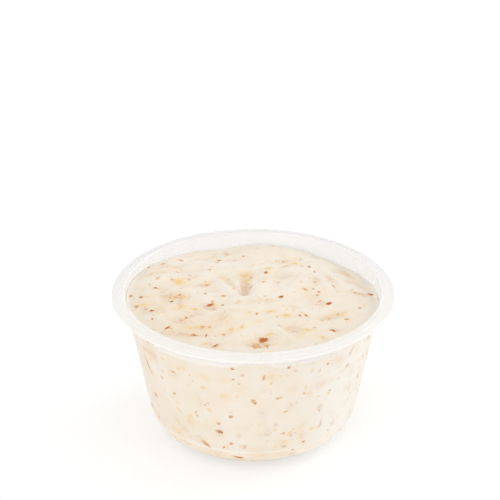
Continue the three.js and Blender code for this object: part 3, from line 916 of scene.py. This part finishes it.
# where each mask starts and where it is full
SUNK_EDGES = (0.45, 1.0)
SPECKLE_EDGES = (0.35, 0.65)
HOLLOW_EDGES = (0.38, 0.85)
PATCH_EDGES = (0.42, 0.64)
MOTTLE_EDGES = (0.48, 0.72)
# what warms the cream: its soft patches and its mottle, and its hollows, where it is partly the
# cream's own deeper tone and partly painted shade
PATCH_SIZE = 6.0
PATCH_WARMTH = 0.20
HOLLOW_TONE_AND_SHADE = 0.38
MOTTLE_SIZE = 1.8
MOTTLE_WARMTH = 0.20
# how far the film, with its painted light, pales the cream
FILM_SHARE = 0.85


def soft_flecks(shader, place, size, share, start, low, high):
    """A mask of soft-edged flecks sunk in the sauce: one in some of the cells of a size."""
    offset = shader.node("ShaderNodeVectorMath", {"operation": "ADD"}, {0: place, 1: (start,) * 3})
    cells = shader.node("ShaderNodeTexVoronoi", {"voronoi_dimensions": "3D"}, {
        "Vector": offset.outputs[0], "Scale": 1 / size, "Randomness": 1.0,
    })
    parts = shader.node("ShaderNodeSeparateColor", {}, {0: cells.outputs["Color"]})
    chosen = shader.step(Value(shader, parts.outputs[0]), 1 - share, 1 - share + 0.02)
    spread = Value(shader, parts.outputs[1]) * (high - low) + low
    distance = Value(shader, cells.outputs["Distance"])
    return chosen * (1 - shader.step(distance / spread, *SUNK_EDGES))


def cream_colour(shader, place, looks):
    """Cream, warmer and darker in its hollows and valleys partly as painted shade, warmer in its
    patches, and paler where it is thin partly as painted light.
    """
    hollow = shader.step(shader.layer("hollowness"), *HOLLOW_EDGES)
    patches = shader.step(shader.grain(place, PATCH_SIZE, 3.0), *PATCH_EDGES)
    mottle = shader.step(shader.grain(place, MOTTLE_SIZE, 3.0, 0.6), *MOTTLE_EDGES)
    # the hollows and the tan valleys are painted darker and warmer: partly the cream's own tone,
    # partly painted shade
    warm = patches * PATCH_WARMTH + hollow * HOLLOW_TONE_AND_SHADE + mottle * MOTTLE_WARMTH
    warm = (warm + shader.layer("tan_haze_and_valley_shade")).lesser(1.0)
    colour = shader.mix(warm, rgba(looks.cream), rgba(looks.warm_cream))
    # paler at the film, the painted wash and the lip: partly the thin film, partly painted light
    # and a painted highlight
    return shader.mix(shader.layer("film_and_painted_light") * FILM_SHARE, colour, rgba(looks.film))


def cream_sauce(looks):
    """A thick satin cream with sunken flecks."""
    shader = Shader("cream sauce")
    place = shader.place()
    ragged = shader.node("ShaderNodeTexNoise", {}, {
        "Vector": place, "Scale": RAGGED_FINENESS, "Detail": 2.0,
    })
    bent = shader.node("ShaderNodeVectorMath", {"operation": "MULTIPLY_ADD"}, {
        0: ragged.outputs[1], 1: (RAGGED_REACH,) * 3, 2: place,
    }).outputs[0]
    brown = soft_flecks(shader, bent, *SUNK_BROWN)
    yellow = soft_flecks(shader, bent, *SUNK_YELLOW)
    smudge = soft_flecks(shader, bent, *SUNK_SMUDGES)
    colour = cream_colour(shader, place, looks)
    speckle = shader.step(shader.grain(place, SPECKLE_SIZE), *SPECKLE_EDGES)
    speckle = speckle * SPECKLE_SPAN[1] + SPECKLE_SPAN[0]

    def share(flecks, haze, strengths):
        return (flecks * strengths[0] + shader.layer(haze) * speckle * strengths[1]).lesser(1.0)

    yellow_share = share(yellow, "yellow_haze", YELLOW_STRENGTHS)
    colour = shader.mix(yellow_share, colour, rgba(looks.yellow_stain))
    colour = shader.mix(smudge * SMUDGE_STRENGTH, colour, rgba(looks.brown_stain))
    # brown stains, with the painted shade under the lip of the foot
    brown_share = share(brown, "brown_haze_and_foot_shade", BROWN_STRENGTHS)
    colour = shader.mix(brown_share, colour, rgba(looks.brown_stain))
    pores = shader.grain(place, PORE_SIZE, 3.0)
    return shader.finish({
        "Base Color": colour,
        "Roughness": shader.roughness(place, 2.0, CREAM_ROUGHNESS),
        "IOR": CREAM_IOR,
        "Normal": shader.bump(pores, *PORE_BUMP),
    })


# ------------------------------------------------------------------ flecks
# the flecks that catch the eye on top: x, y, length, width, turn and how clear of sauce they lie
MAIN_BROWN = (
    (2.3, -17.7, 2.2, 2, 30, 1), (0.7, -21, 2.6, 2.2, 160, 0.5),
    (-18.5, -12.5, 2.1, 0.65, 50, 0.95), (-8, -21, 2.1, 0.65, 48, 0.95),
    (-9.3, -2.4, 1.7, 1, 10, 0.85), (16.6, -2.6, 1.3, 1, 0, 1), (17.3, -14.5, 2, 0.6, 130, 0.95),
    (-12.7, -15.5, 1.5, 0.9, 170, 0.95), (2.9, 10.5, 1.5, 0.9, 50, 0.8),
    (6.1, 0, 1.15, 0.9, 0, 0.95),
)
MAIN_YELLOW = (
    (-16.5, 8, 1.8, 1.4, 20, 0.9), (-1.5, 11.4, 1.5, 1.3, 80, 1), (7.3, -7.6, 1.6, 1, 170, 1),
)
# the flecks of the top that the solids place by rule, each span a least value and what it adds
RULED_FLECKS = 32
FLECK_REACH = 24.5
FLECK_JITTER = 0.75
FLECK_LENGTH = (0.75, 0.75)
FLECK_WIDTH = (0.5, 0.35)
FLECK_CLEARNESS = (0.3, 0.25)
FLECK_SEED = 907
# smaller ones, which the solids leave out
SMALL_BROWN = (
    (-21.5, 4.5, 1, 0.8, 10, 0.95), (-24.6, 1, 0.9, 0.9, 0, 0.95), (-17.8, -0.3, 0.9, 0.9, 0, 0.95),
    (-26.8, 1.2, 1.2, 0.7, 80, 0.7), (-25.4, -3.6, 1, 0.7, 60, 0.7), (-22, -5.3, 1.1, 0.8, 0, 0.95),
    (-21.8, -8.8, 0.5, 0.5, 0, 0.9), (-10, -15.7, 0.9, 0.45, 80, 0.85),
    (-8.5, -4.1, 1, 0.6, 0, 0.75), (-10.5, 2.3, 1, 0.6, 120, 0.8), (-10.3, 6.4, 1, 0.9, 30, 0.55),
    (-6.5, 0.8, 1.2, 0.6, 0, 0.7), (-6.6, -2.6, 0.9, 0.6, 20, 0.7), (-9.3, -12, 0.7, 0.5, 0, 0.8),
    (-10.9, -12, 1.2, 1.1, 0, 0.55), (-6.3, -15.6, 0.9, 0.9, 0, 0.6), (-7.5, 18, 1, 0.7, 0, 0.7),
    (-16.2, 17.5, 1.2, 0.7, 0, 0.6), (-20.2, 15, 1.5, 0.6, 30, 0.6), (-23.4, 14, 0.9, 0.6, 0, 0.7),
    (-14.5, -8.2, 1, 0.7, 70, 0.65), (10.2, -7.8, 0.9, 0.5, 130, 0.9),
    (11.5, -7.5, 1, 0.5, 130, 0.9), (14.8, -9.8, 1.1, 0.5, 0, 0.7), (12.6, 13.5, 0.8, 0.6, 90, 0.8),
    (14.6, 3, 0.7, 0.5, 0, 0.7), (14.1, 2, 0.6, 0.5, 0, 0.7), (17.8, 4.8, 1.7, 0.4, 125, 0.75),
    (22.5, 3.5, 0.7, 0.6, 0, 0.8), (26, 3.2, 1.4, 0.7, 130, 0.9), (23.3, -4.2, 0.7, 0.7, 0, 0.75),
    (14.7, -0.9, 1.6, 0.6, 10, 0.45), (18.4, -7, 1.2, 0.8, 20, 0.4),
    (16.6, -8.3, 1.3, 0.7, 0, 0.35), (-0.4, 9.8, 0.7, 0.6, 0, 0.75), (-17, 1.8, 1.4, 0.9, 20, 0.4),
    (6.9, 17, 1.2, 0.8, 0, 0.4), (2.8, -20.7, 1.8, 1.4, 0, 0.4), (0.2, -20.4, 0.8, 0.7, 0, 0.95),
    (0.5, -21.9, 0.8, 0.6, 0, 0.9), (1.7, -21.6, 0.6, 0.5, 0, 0.85),
    (3.1, -21.3, 0.7, 0.5, 0, 0.85), (1.2, -19.7, 0.5, 0.5, 0, 0.7), (-16.2, 2.6, 0.7, 0.5, 0, 0.6),
    (-18.3, 1.5, 0.5, 0.4, 0, 0.6), (-15.8, 1.4, 0.6, 0.4, 0, 0.5),
)
SMALL_YELLOW = (
    (-6.8, 9, 1.3, 1, 0, 0.6), (9.3, 15.8, 1.4, 0.6, 0, 0.9), (3.5, 13.2, 0.9, 0.9, 0, 0.8),
    (-1.6, 8.2, 1.4, 1.6, 80, 0.8), (-15.1, 1.7, 0.9, 0.8, 0, 0.9), (-15.5, -4, 1.1, 0.8, 10, 0.8),
    (-12.5, -4.4, 1.3, 0.8, 0, 0.9), (-23.9, -2.8, 1.1, 0.7, 0, 0.8), (3.8, -6, 1.3, 1, 0, 0.9),
    (-0.8, -6.7, 0.9, 1.2, 0, 0.6), (7.5, -13.8, 0.9, 0.8, 0, 0.7), (11.7, -13.8, 1.4, 0.9, 0, 0.9),
    (-4.5, -13.8, 1, 1.3, 0, 0.8), (-2.3, -13, 0.8, 1, 0, 0.8), (3.6, -15.8, 0.9, 0.8, 0, 0.8),
    (-13.3, -12.2, 1.1, 0.6, 0, 0.7), (-10, -20, 1.1, 1, 0, 0.8), (14.8, -17, 0.9, 0.7, 0, 0.8),
    (-10.6, 7.4, 1.2, 1, 0, 0.5), (9, -4.4, 0.9, 0.6, 0, 0.6),
)
# the smallest of all, strewn over the top by rule
EXTRA_FLECKS = 46
EXTRA_REACH = 27.2
EXTRA_LENGTH = (0.5, 0.9)
EXTRA_WIDTH = (0.5, 0.4)  # share of the length
EXTRA_CLEARNESS = (0.2, 0.35)
EXTRA_SEED = 5209
# against the wall: height, angle from +X, length along the turn, width, turn and clearness
WALL_BROWN = (
    (22.6, 209, 5.4, 0.5, 112, 0.85), (18.4, 228, 0.9, 0.8, 0, 0.65),
    (29.2, 261, 1, 0.7, 150, 0.85), (26.3, 261, 0.9, 0.6, 0, 0.7), (15.8, 259, 1.1, 1, 0, 0.75),
    (13.5, 252.5, 0.9, 0.8, 120, 0.6), (11.1, 253, 2, 1.1, 160, 1),
    (6.9, 243.5, 2.6, 1.1, 140, 0.7), (8.2, 258.5, 1.1, 0.8, 10, 0.75),
    (6.9, 254, 0.6, 0.6, 0, 0.7), (18, 246, 0.7, 0.5, 0, 0.6), (18.7, 247.6, 0.6, 0.5, 0, 0.6),
    (15.2, 240, 0.9, 0.5, 70, 0.6), (14.4, 240.6, 0.9, 0.5, 130, 0.6), (3.9, 262, 2.2, 1, 175, 0.9),
    (29.2, 286, 0.9, 0.8, 30, 0.85), (19.9, 271, 0.9, 0.9, 0, 0.8), (21, 282.5, 1.3, 0.7, 15, 0.65),
    (17, 286.5, 1.8, 0.6, 20, 0.45), (10.8, 286, 1.1, 0.8, 20, 0.65), (7, 287, 1.1, 0.6, 10, 0.5),
    (7.2, 298.5, 1, 0.6, 20, 0.8), (5.6, 292.5, 0.6, 0.5, 0, 0.8), (27.6, 306, 0.8, 0.6, 0, 0.7),
    (26.4, 302, 1.4, 0.7, 70, 0.4), (24.3, 320, 1.5, 1, 60, 0.5), (28.6, 321.5, 1.8, 1, 60, 0.35),
    (28, 337, 1.6, 1, 70, 0.6), (10.8, 308, 2.6, 0.8, 75, 0.35), (29.6, 215, 1.2, 1, 0, 0.45),
    (9.5, 296, 1.2, 0.9, 30, 0.25), (25.3, 263.5, 0.8, 0.7, 0, 0.4),
    (23.5, 335, 1.4, 0.9, 80, 0.35),
)
WALL_YELLOW = (
    (22.8, 246, 1.3, 1, 165, 0.95), (16.7, 248, 1.2, 1, 0, 0.8), (27, 224, 1.3, 1.1, 0, 0.7),
    (13.4, 236.5, 1.8, 0.8, 105, 0.7), (14.2, 228.5, 2, 0.9, 140, 0.6),
    (10.6, 226.5, 2, 0.9, 130, 0.6), (25.3, 278.3, 0.9, 0.8, 0, 0.85),
    (27.1, 282.5, 0.8, 0.7, 0, 0.7), (24, 241, 0.7, 0.6, 0, 0.8), (25.4, 239.5, 0.5, 0.5, 0, 0.8),
    (10.6, 289.5, 1.5, 0.9, 60, 0.9), (22.6, 295.5, 1.2, 0.6, 100, 0.7),
    (19, 310, 1.1, 0.9, 0, 0.6), (7.4, 282, 1, 0.7, 20, 0.7), (6.9, 256, 0.7, 0.5, 0, 0.8),
    (11.6, 291.5, 0.8, 0.5, 20, 0.6), (29, 298, 0.9, 0.6, 0, 0.6), (8.2, 241, 1.3, 0.8, 140, 0.6),
)
# strewn against the wall by rule: how many, seed, first angle and arc, then the spans of height,
# length, width as a share of it, and clearness
WALL_STREWN = (
    (96, 331, 0, 360, (3, 25.5), (0.6, 1), (0.5, 0.4), (0.25, 0.4)),
    # larger ones, over the arc that the chosen ones leave bare
    (64, 733, 335, 235, (3.5, 24.5), (0.8, 1.4), (0.45, 0.4), (0.4, 0.5)),
)
WALL_FADE = 0.92  # the cream that veils the flecks at the wall
CHIP_WAVER = 0.55  # how uneven a chip is in the large, and how fine that is
CHIP_WAVES = 1.3
CHIP_FINE_WAVER = 0.33  # and in the small
CHIP_FINE_WAVES = 2.9
CHIP_PEAK = 4  # how narrow its crown is against its skirt
CHIP_CLEARING = 0.6  # how soon it comes clear of the cream on its way up
CHIP_FRINGE = 1.6  # how much wider a chip is than its dark part, for the stained fringe
CHIP_SINK = 0.03  # how far its skirt lies under the sauce
CHIP_STRIDE = 3.7  # between one chip's place in the noise and the next one's
TOP_CHIP_THICKNESS = 0.34
WALL_CHIP_THICKNESS = 0.24
FRINGE_EDGES = (0.05, 0.45)  # how clear of the cream the fringe starts and is full
CROWN_EDGES = (0.35, 0.9)
FLECK_RAGGEDNESS = 0.25
FLECK_ROUGHNESS = (0.35, 0.2)
FLECK_BUMP = (0.25, 0.00004)


def ruled_flecks():
    """The flecks of the top that the solids place by rule."""
    draw = draws_from(FLECK_SEED)
    for index in range(RULED_FLECKS):
        x, y = sunflower_place(index, RULED_FLECKS, FLECK_REACH)
        x += (next(draw) - 0.5) * FLECK_JITTER
        y += (next(draw) - 0.5) * FLECK_JITTER
        length, width = drawn(draw, FLECK_LENGTH), drawn(draw, FLECK_WIDTH)
        clearness = FLECK_CLEARNESS[0] + FLECK_CLEARNESS[1] * (index % 3) / 2
        yield x, y, length, width, next(draw) * 180, clearness


def strewn_on_top():
    """The smallest flecks, strewn over the top."""
    draw = draws_from(EXTRA_SEED)
    for _ in range(EXTRA_FLECKS):
        radius = EXTRA_REACH * math.sqrt(next(draw))
        angle = next(draw) * FULL_TURN
        length = drawn(draw, EXTRA_LENGTH, 2)
        width = length * drawn(draw, EXTRA_WIDTH)
        yield (radius * math.cos(angle), radius * math.sin(angle), length, width,
               next(draw) * 180, drawn(draw, EXTRA_CLEARNESS))


def strewn_at_wall():
    """Flecks strewn against the wall."""
    for count, seed, first, sweep, heights, lengths, widths, clearness in WALL_STREWN:
        draw = draws_from(seed)
        for index in range(count):
            angle = first + sweep * (index * GOLDEN_ANGLE / FULL_TURN % 1)
            height = drawn(draw, heights)
            length = drawn(draw, lengths, 2)
            yield (height, angle, length, length * drawn(draw, widths),
                   next(draw) * 180, drawn(draw, clearness))


def veiled(flecks):
    """Flecks with the cream's veil over them."""
    return [(*fleck[:5], fleck[5] * WALL_FADE) for fleck in flecks]


def by_colour(brown, yellow, *others):
    """Brown and yellow flecks: the chosen ones, then every other one of each further set."""
    for flecks in map(list, others):
        brown, yellow = [*brown, *flecks[::2]], [*yellow, *flecks[1::2]]
    return brown, yellow


def ball_shape():
    """The vertices and faces of a round ball, from which each chip is shaped."""
    ball = bmesh.new()
    bmesh.ops.create_icosphere(ball, subdivisions=3, radius=1)
    vertices = np.array([vertex.co for vertex in ball.verts])
    faces = [tuple(vertex.index for vertex in face.verts) for face in ball.faces]
    ball.free()
    return vertices, faces


def chip(ball, length, width, thickness, seed):
    """An uneven chip, long in X and flat in Z, and how far each point stands out of the sauce."""
    waver = [1 + CHIP_WAVER * noise.noise(point * CHIP_WAVES + Vector((seed, 0, 0)))
             + CHIP_FINE_WAVER * noise.noise(point * CHIP_FINE_WAVES + Vector((0, seed, 0)))
             for point in map(Vector, ball)]
    size = (length / 2 * CHIP_FRINGE, width / 2 * CHIP_FRINGE, thickness / 2)
    dome = np.clip(ball[:, 2], 0, 1) ** CHIP_PEAK
    lens = ball.copy()
    lens[:, 2] = np.where(ball[:, 2] > 0, dome, ball[:, 2])
    shaped = lens * np.array(waver)[:, None] * size - (0, 0, CHIP_SINK)
    sunk = CHIP_SINK / (thickness / 2)
    return shaped, np.clip((dome - sunk) / (1 - sunk), 0, 1) ** CHIP_CLEARING


def turned(vertices, degrees):
    """X and Y of vertices turned round Z."""
    turn = math.radians(degrees)
    along = vertices[:, 0] * math.cos(turn) - vertices[:, 1] * math.sin(turn)
    across = vertices[:, 0] * math.sin(turn) + vertices[:, 1] * math.cos(turn)
    return along, across


def lay_on_top(vertices, x, y, turn):
    """Lays a chip on the sauce's top, where it follows the relief."""
    along, across = turned(vertices, turn)
    ground = surface_height(x + along, y + across)
    return np.column_stack([x + along, y + across, ground + vertices[:, 2]])


LEAN_REACH = 0.3  # above and below a place on the wall, to tell how the wall leans there


def lay_on_wall(vertices, height, angle, turn):
    """Lays a chip against the inside of the wall, where it follows the wall's bend."""
    along, across = turned(vertices, turn)
    above, below = (float(skin_radius(height + reach, SAUCE_INSET))
                    for reach in (LEAN_REACH, -LEAN_REACH))
    lean = np.array([above - below, 2 * LEAN_REACH])
    up_out, up_high = lean / math.hypot(*lean)
    heights = height + across * up_high
    angles = math.radians(angle) + along / float(skin_radius(height, SAUCE_INSET))
    radii = skin_radius(heights, SAUCE_INSET) + vertices[:, 2] * up_high
    return np.column_stack([
        radii * np.cos(angles), radii * np.sin(angles), heights - vertices[:, 2] * up_out,
    ])


def make_chips(name, flecks, thickness, lay, material):
    """One piece of many chips, with how clear of the sauce each point is and the cream there."""
    ball, ball_faces = ball_shape()
    all_vertices, all_faces, clear, middles = [], [], [], []
    for number, (first, second, length, width, turn, strength) in enumerate(flecks):
        vertices, stands = chip(ball, length, width, thickness, number * CHIP_STRIDE)
        all_faces += [tuple(index + number * len(ball) for index in face) for face in ball_faces]
        all_vertices.append(lay(vertices, first, second, turn))
        clear.append(stands * strength)
        middles.append(all_vertices[-1].mean(0))
    piece = new_piece(name, np.concatenate(all_vertices), all_faces)
    add_layer(piece, "clearness", np.concatenate(clear))
    on_top = np.full(len(middles), lay is lay_on_top)
    for layer, values in cream_layers(np.array(middles), on_top).items():
        add_layer(piece, layer, np.repeat(values, len(ball)))
    piece.data.materials.append(material)


def fleck_finish(name, fringe, middle, sauce_looks):
    """Cream at the skirt, then a stained fringe, then the fleck's own colour at its crown."""
    shader = Shader(name)
    place = shader.place()
    cream = cream_colour(shader, place, sauce_looks)
    clear = shader.layer("clearness") + FLECK_RAGGEDNESS * (shader.grain(place, 0.5) - 0.5)
    colour = shader.mix(shader.step(clear, *FRINGE_EDGES), cream, rgba(fringe))
    colour = shader.mix(shader.step(clear, *CROWN_EDGES), colour, rgba(middle))
    return shader.finish({
        "Base Color": colour,
        "Roughness": shader.roughness(place, 0.4, FLECK_ROUGHNESS),
        "IOR": CREAM_IOR,
        "Normal": shader.bump(shader.grain(place, 0.25), *FLECK_BUMP),
    })


def make_flecks(looks, sauce_looks):
    """The four pieces of flecks, by colour and by where they lie."""
    brown = fleck_finish("brown flecks", looks.stain, looks.brown, sauce_looks)
    yellow = fleck_finish("yellow flecks", looks.yellow, looks.deep_yellow, sauce_looks)
    top_brown, top_yellow = by_colour(
        MAIN_BROWN + SMALL_BROWN, MAIN_YELLOW + SMALL_YELLOW, ruled_flecks(), strewn_on_top(),
    )
    wall_brown, wall_yellow = by_colour(
        veiled(WALL_BROWN), veiled(WALL_YELLOW), strewn_at_wall(),
    )
    make_chips("brown_flecks_on_top", top_brown, TOP_CHIP_THICKNESS, lay_on_top, brown)
    make_chips("yellow_flecks_on_top", top_yellow, TOP_CHIP_THICKNESS, lay_on_top, yellow)
    make_chips("brown_flecks_at_wall", wall_brown, WALL_CHIP_THICKNESS, lay_on_wall, brown)
    make_chips("yellow_flecks_at_wall", wall_yellow, WALL_CHIP_THICKNESS, lay_on_wall, yellow)


# ------------------------------------------------------------------ the stage
RIM_PLACE = (253.0, 289.1)  # pixel of the photograph where the middle of the crest falls
PICTURE_SIZE = 500
FOCAL_PIXELS = 2740.0
SENSOR_WIDTH = 36.0
FLOOR_REACH = 3.0  # metres, as are the next
LAMP_AIM = (0, 0, 0.02)
LAMPS = (  # name, place, size and power in watts
    ("key", (1.0, 0.45, 0.7), 0.7, 2.5),
    ("front", (-0.8, -1.2, 0.4), 1.2, 5.5),
    ("side", (1.3, -0.6, 0.3), 0.8, 1.5),
)
SKY_STRENGTH = 0.98
FLOOR_GREY = 0.6
FLOOR_GLOW = 0.4


def make_stage(looks):
    """The floor, the light and the camera."""
    make_floor()
    make_light()
    make_camera(looks)
    bpy.context.scene.view_settings.view_transform = "Standard"


def make_floor():
    """A plain pale floor that glows a little, so that it is as white as the photograph's."""
    ends = ((-1, -1), (1, -1), (1, 1), (-1, 1))
    corners = [(x * FLOOR_REACH, y * FLOOR_REACH, 0) for x, y in ends]
    mesh = bpy.data.meshes.new("floor")
    mesh.from_pydata(corners, [], [(0, 1, 2, 3)])
    floor = bpy.data.objects.new("floor", mesh)
    bpy.context.scene.collection.objects.link(floor)
    shader = Shader("pale floor")
    floor.data.materials.append(shader.finish({
        "Base Color": rgba((FLOOR_GREY,) * 3), "Roughness": 0.9, "Specular IOR Level": 0.1,
        "Emission Color": (1, 1, 1, 1), "Emission Strength": FLOOR_GLOW,
    }))


def facing(direction):
    """The rotation that points a lamp or a camera in a direction."""
    return direction.to_track_quat("-Z", "Y").to_euler()


def make_light():
    """A white sky and soft round lamps."""
    scene = bpy.context.scene
    world = bpy.data.worlds.new("studio")
    world.use_nodes = True
    sky = world.node_tree.nodes["Background"]
    sky.inputs[0].default_value = (1, 1, 1, 1)
    sky.inputs[1].default_value = SKY_STRENGTH
    scene.world = world
    for name, place, size, power in LAMPS:
        light = bpy.data.lights.new(name, "AREA")
        light.shape = "DISK"
        light.size = size
        light.energy = power
        lamp = bpy.data.objects.new(name, light)
        lamp.location = place
        lamp.rotation_euler = facing(Vector(LAMP_AIM) - Vector(place))
        scene.collection.objects.link(lamp)


def make_camera(looks):
    """The camera at the photograph's angle, framed as the photograph is."""
    rise = math.sin(looks.elevation)
    level = math.cos(looks.elevation)
    crest = Vector((0, 0, CUP_HEIGHT * METRES))
    forward = Vector((0, level, -rise))
    upward = Vector((0, rise, level))
    side = Vector((1, 0, 0))
    off_side, off_up = ((place - PICTURE_SIZE / 2) / FOCAL_PIXELS for place in RIM_PLACE)
    aim = forward + upward * off_up - side * off_side
    lens = bpy.data.cameras.new("camera")
    lens.sensor_width = SENSOR_WIDTH
    lens.lens = FOCAL_PIXELS / PICTURE_SIZE * SENSOR_WIDTH
    camera = bpy.data.objects.new("camera", lens)
    camera.location = crest - forward * looks.distance
    camera.rotation_euler = facing(aim)
    bpy.context.scene.collection.objects.link(camera)
    bpy.context.scene.camera = camera


# ------------------------------------------------------------------ operators
class SAUCECUP_OT_cup(bpy.types.Operator):
    """Build the clear cup"""
    bl_idname = "sauce_cup.cup"
    bl_label = "Cup"

    def execute(self, context):
        make_cup(context.scene.sauce_cup_cup)
        return {"FINISHED"}


class SAUCECUP_OT_sauce(bpy.types.Operator):
    """Build the cream sauce"""
    bl_idname = "sauce_cup.sauce"
    bl_label = "Sauce"

    def execute(self, context):
        make_sauce(context.scene.sauce_cup_sauce)
        return {"FINISHED"}


class SAUCECUP_OT_flecks(bpy.types.Operator):
    """Build the flecks of herb and mustard seed"""
    bl_idname = "sauce_cup.flecks"
    bl_label = "Flecks"

    def execute(self, context):
        make_flecks(context.scene.sauce_cup_flecks, context.scene.sauce_cup_sauce)
        return {"FINISHED"}


class SAUCECUP_OT_stage(bpy.types.Operator):
    """Build the floor, the lights and the camera"""
    bl_idname = "sauce_cup.stage"
    bl_label = "Stage"

    def execute(self, context):
        make_stage(context.scene.sauce_cup_stage)
        return {"FINISHED"}


OPERATORS = (SAUCECUP_OT_stage, SAUCECUP_OT_cup, SAUCECUP_OT_sauce, SAUCECUP_OT_flecks)
GROUPS = {
    "sauce_cup_cup": CupLooks,
    "sauce_cup_sauce": SauceLooks,
    "sauce_cup_flecks": FleckLooks,
    "sauce_cup_stage": StageLooks,
}


class SAUCECUP_PT_panel(bpy.types.Panel):
    """Lists the pieces"""
    bl_label = "Sauce Cup"
    bl_idname = "SAUCECUP_PT_panel"
    bl_space_type = "VIEW_3D"
    bl_region_type = "UI"
    bl_category = "Sauce Cup"

    def draw(self, context):
        for name, group in GROUPS.items():
            for prop in group.__annotations__:
                self.layout.prop(getattr(context.scene, name), prop)
        for operator in OPERATORS:
            self.layout.operator(operator.bl_idname)


CLASSES = (*GROUPS.values(), *OPERATORS, SAUCECUP_PT_panel)


def register():
    for made in CLASSES:
        bpy.utils.register_class(made)
    for name, group in GROUPS.items():
        setattr(bpy.types.Scene, name, bpy.props.PointerProperty(type=group))


def unregister():
    for name in GROUPS:
        delattr(bpy.types.Scene, name)
    for made in reversed(CLASSES):
        bpy.utils.unregister_class(made)


def main():
    register()
    for operator in OPERATORS:
        group, name = operator.bl_idname.split(".")
        getattr(getattr(bpy.ops, group), name)()


if __name__ == "__main__":
    main()
